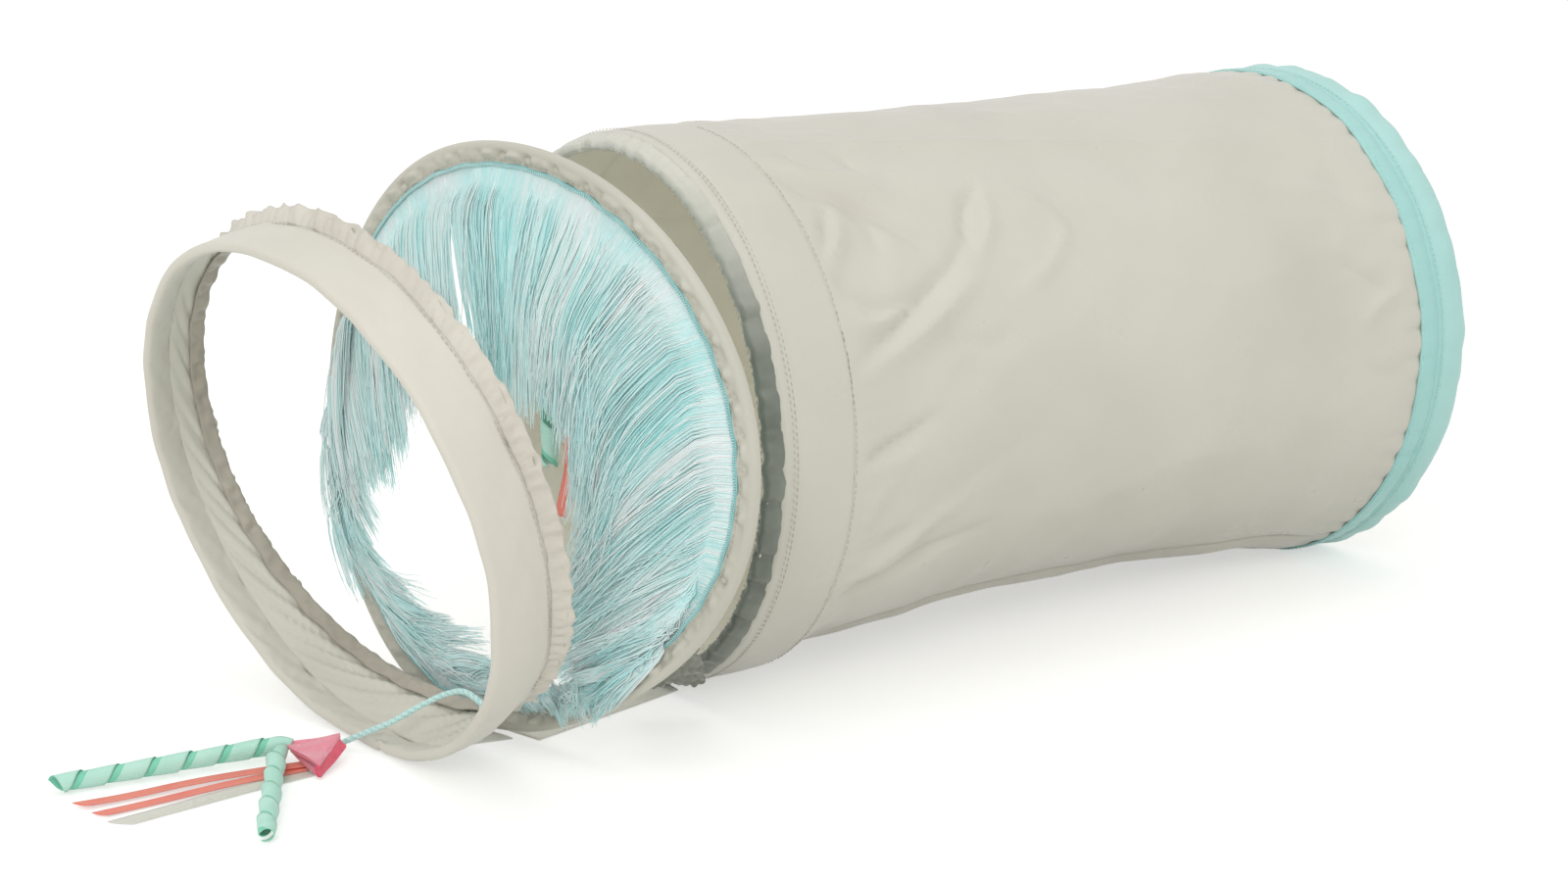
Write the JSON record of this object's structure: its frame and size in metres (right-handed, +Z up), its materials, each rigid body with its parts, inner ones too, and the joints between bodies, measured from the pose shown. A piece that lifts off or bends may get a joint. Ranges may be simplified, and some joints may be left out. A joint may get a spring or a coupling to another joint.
{
  "type": "cat tunnel",
  "caption": "Soft cat tunnel: a wire-hooped cloth tube, a hoop hung with fringe strands and a leaning front hoop, joined by floor strips, with ribbon toys on cords.",
  "frame": {"origin": "on the floor, below the middle of the cloth and hoops, without the toys and their cords", "axes": "+X along the tube from its mouth to its far end, +Z up, -Y towards the side that the toy lies on"},
  "size_m": [0.6873, 0.285, 0.2537],
  "materials": {
    "tube_cloth": "satin woven polyester",
    "band_cloth": "satin woven polyester",
    "binding_cloth": "glossy bias binding, gathered",
    "gathered_cloth": "shiny crumpled lining",
    "teal_cloth": "satin woven polyester",
    "fringe_fibre": "silky strands",
    "braided_cord": "matte braid",
    "mint_ribbon": "ribbed grosgrain",
    "coral_ribbon": "ribbed grosgrain",
    "pale_ribbon": "satin",
    "pink_felt": "matte felt",
    "hoop_wire": "drawn spring wire",
    "wire_sleeve": "pressed sleeve"
  },
  "bodies": {
    "tube": {"tube_cloth": "tube_cloth", "mouth_facing": "tube_cloth", "mouth_casing": "binding_cloth", "mouth_wire": "hoop_wire", "mouth_wire_sleeve": "wire_sleeve", "seam_tape": "band_cloth", "rear_strip": "tube_cloth", "front_strip": "tube_cloth", "gathered_tab": "gathered_cloth", "toy_cord": "braided_cord"},
    "far_end": {"far_band": "teal_cloth", "far_wire": "hoop_wire", "far_wire_sleeve": "wire_sleeve"},
    "fringe_hoop": {"fringe_binding": "binding_cloth", "fringe_wire": "hoop_wire", "fringe_wire_sleeve": "wire_sleeve", "fringe_tape": "teal_cloth", "fringe_top": "fringe_fibre", "fringe_upper_left": "fringe_fibre", "fringe_left": "fringe_fibre", "fringe_lower_left": "fringe_fibre", "fringe_upper_right": "fringe_fibre", "fringe_right": "fringe_fibre", "fringe_lower_right": "fringe_fibre", "fringe_foot": "fringe_fibre"},
    "front_hoop": {"front_band": "band_cloth", "front_wire": "hoop_wire", "front_wire_sleeve": "wire_sleeve", "front_lining": "tube_cloth", "front_ruffle": "band_cloth", "toy_cord_knot": "braided_cord"},
    "front_toy": {"toy_felt": "pink_felt", "toy_long_curl": "mint_ribbon", "toy_short_curl": "mint_ribbon", "toy_coral_ribbon_a": "coral_ribbon", "toy_coral_ribbon_b": "coral_ribbon", "toy_pale_ribbon": "pale_ribbon"},
    "hanging_toy": {"hanging_cord": "braided_cord", "hanging_knot": "braided_cord", "hanging_curl": "mint_ribbon", "hanging_coral_ribbon": "coral_ribbon"}
  },
  "joints": [
    {"name": "tube_collapse", "type": "slide", "parent": "tube", "child": "far_end", "axis": [-1, 0, 0], "range_m": [0, 0.33], "deforming": ["tube_cloth", "seam_tape"]},
    {"name": "fringe_hoop_tilt", "type": "hinge", "parent": "tube", "child": "fringe_hoop", "pos_m": [-0.197, -0.02459, 0], "axis": [-0.2639, 0.9646, 0], "range_deg": [-2, 12], "deforming": ["fringe_foot", "gathered_tab"]},
    {"name": "front_hoop_tilt", "type": "hinge", "parent": "tube", "child": "front_hoop", "pos_m": [-0.25237, -0.00719, 0], "axis": [0.108, -0.9942, 0], "range_deg": [0, 62], "deforming": ["toy_cord", "front_strip"]},
    {"name": "front_toy_swing", "type": "hinge", "parent": "tube", "child": "front_toy", "pos_m": [-0.26155, -0.00646, 0.003], "axis": [0, 0, 1], "range_deg": [-25, 12]},
    {"name": "hanging_toy_swing", "type": "hinge", "parent": "fringe_hoop", "child": "hanging_toy", "pos_m": [-0.1724, -0.04119, 0.24684], "axis": [0.2639, -0.9646, 0], "range_deg": [-2, 35]}
  ]
}
